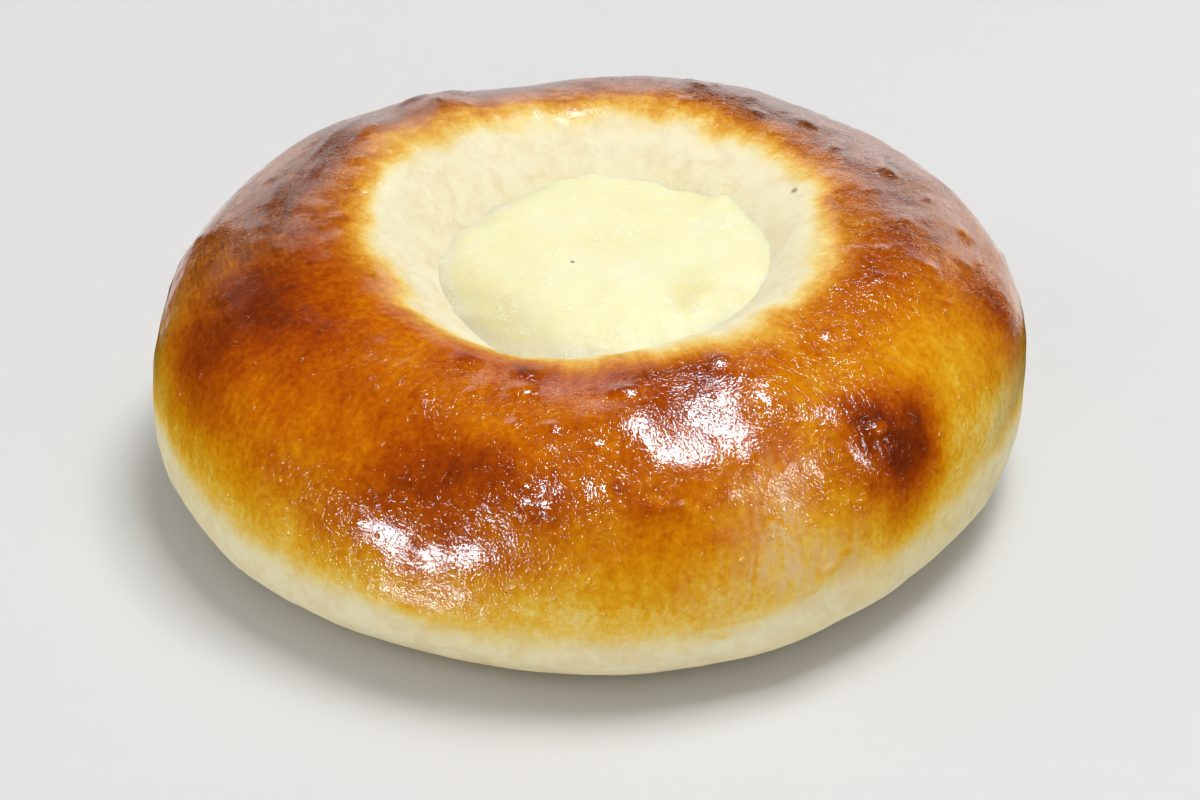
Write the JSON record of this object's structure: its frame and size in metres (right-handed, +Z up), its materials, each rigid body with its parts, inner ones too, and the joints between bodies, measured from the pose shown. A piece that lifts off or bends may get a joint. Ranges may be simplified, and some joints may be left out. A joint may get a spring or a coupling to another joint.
{
  "type": "cheese bun",
  "caption": "Round baked yeast bun with a well pressed into its top, filled with smooth curd cheese. Flat foot to stand on.",
  "frame": {"origin": "the middle of the flat foot that the bun rests on", "axes": "+Z up out of the well, -Y towards the front of the bun, +X to its right seen from the front"},
  "size_m": [0.1259, 0.1152, 0.0437],
  "materials": {
    "baked_dough": "egg-washed crust, amber to red-brown and glossy, fading to matt cream dough at the foot and inside the well",
    "curd_cheese": "pale yellow, moist and slightly lumpy curd cheese"
  },
  "bodies": {
    "root": {"bun": "baked_dough", "cheese_filling": "curd_cheese"}
  },
  "joints": []
}
